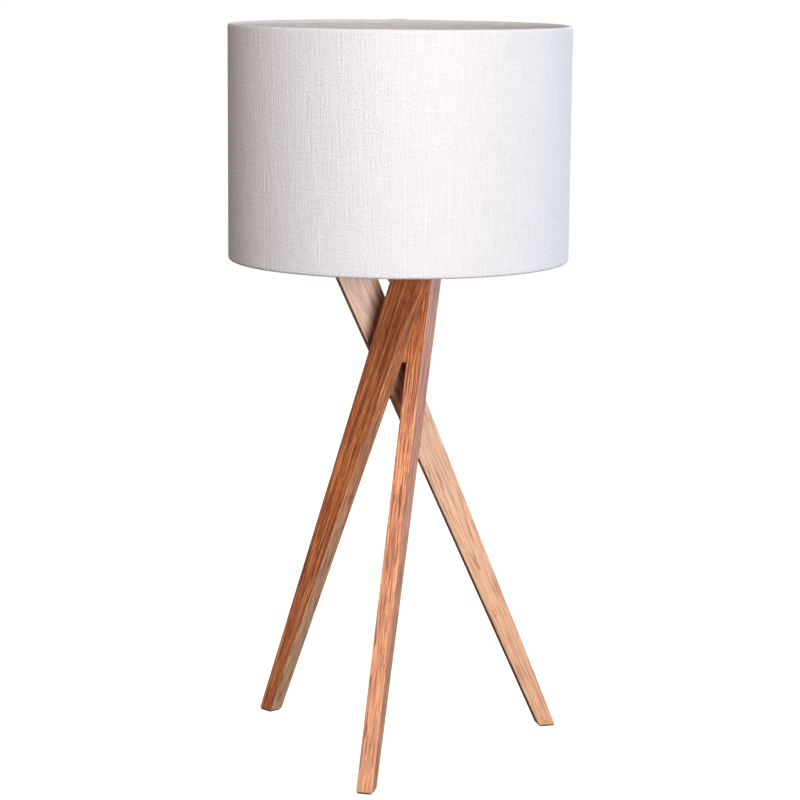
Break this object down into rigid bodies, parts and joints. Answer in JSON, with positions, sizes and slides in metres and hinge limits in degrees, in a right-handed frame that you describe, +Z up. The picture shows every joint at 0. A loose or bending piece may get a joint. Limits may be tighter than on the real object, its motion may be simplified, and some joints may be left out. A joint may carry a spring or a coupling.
{
  "type": "table lamp",
  "caption": "Tripod table lamp with crossed tapered oak board legs, a hidden hub and lampholder, and a fabric drum shade.",
  "frame": {"origin": "on the table, straight below the common axis of the stem and shade", "axes": "+Z up along the stem, -Y towards the front foot, +X towards the right foot"},
  "size_m": [0.3001, 0.3086, 0.6477],
  "materials": {
    "oak": "oiled",
    "rubber": "matte",
    "beech": "raw",
    "brass": "satin",
    "polished_brass": "polished",
    "zinc_steel": "zinc plated",
    "black_plastic": "matte",
    "holder_black": "gloss",
    "steatite": "unglazed",
    "white_enamel": "satin",
    "linen": "woven",
    "shade_lining": "semi-gloss",
    "bulb_glass": "frosted",
    "bulb_metal": "satin",
    "black_glass": "gloss",
    "solder": "satin",
    "clear_glass": "clear",
    "filament": "matte"
  },
  "bodies": {
    "stand": {"leg_front": "oak", "leg_left": "oak", "leg_right": "oak", "hub_block": "oak", "foot_pad_front": "rubber", "foot_pad_left": "rubber", "foot_pad_right": "rubber", "leg_dowels": "beech", "stem_tube": "brass", "stem_collar": "polished_brass", "stem_washers": "zinc_steel", "stem_nuts": "zinc_steel", "cord_gland": "black_plastic", "holder_cap": "holder_black", "holder_skirt": "holder_black", "cap_grub_screw": "zinc_steel", "holder_disc": "steatite", "terminal_blocks": "brass", "terminal_screws": "zinc_steel", "centre_contact": "brass", "screw_shell": "brass"},
    "shade": {"shade_fabric": "linen", "shade_liner": "shade_lining", "hoop_lower": "white_enamel", "hoop_upper": "white_enamel", "carrier_ring": "white_enamel", "carrier_arms": "white_enamel"},
    "clamp": {"clamp_ring": "holder_black"},
    "bulb": {"bulb_globe": "bulb_glass", "bulb_cap": "bulb_metal", "bulb_insulator": "black_glass", "bulb_contact": "solder", "bulb_stem": "clear_glass", "bulb_filaments": "filament", "bulb_leads": "zinc_steel"}
  },
  "joints": [
    {"name": "shade_turn", "type": "hinge", "parent": "stand", "child": "shade", "pos_m": [0, 0, 0.465], "axis": [0, 0, 1], "continuous": true},
    {"name": "clamp_turn", "type": "hinge", "parent": "stand", "child": "clamp", "pos_m": [0, 0, 0.471], "axis": [0, 0, 1], "range_deg": [0, 1080]},
    {"name": "bulb_turn", "type": "hinge", "parent": "stand", "child": "bulb", "pos_m": [0, 0, 0.48], "axis": [0, 0, 1], "range_deg": [0, 1080]}
  ]
}
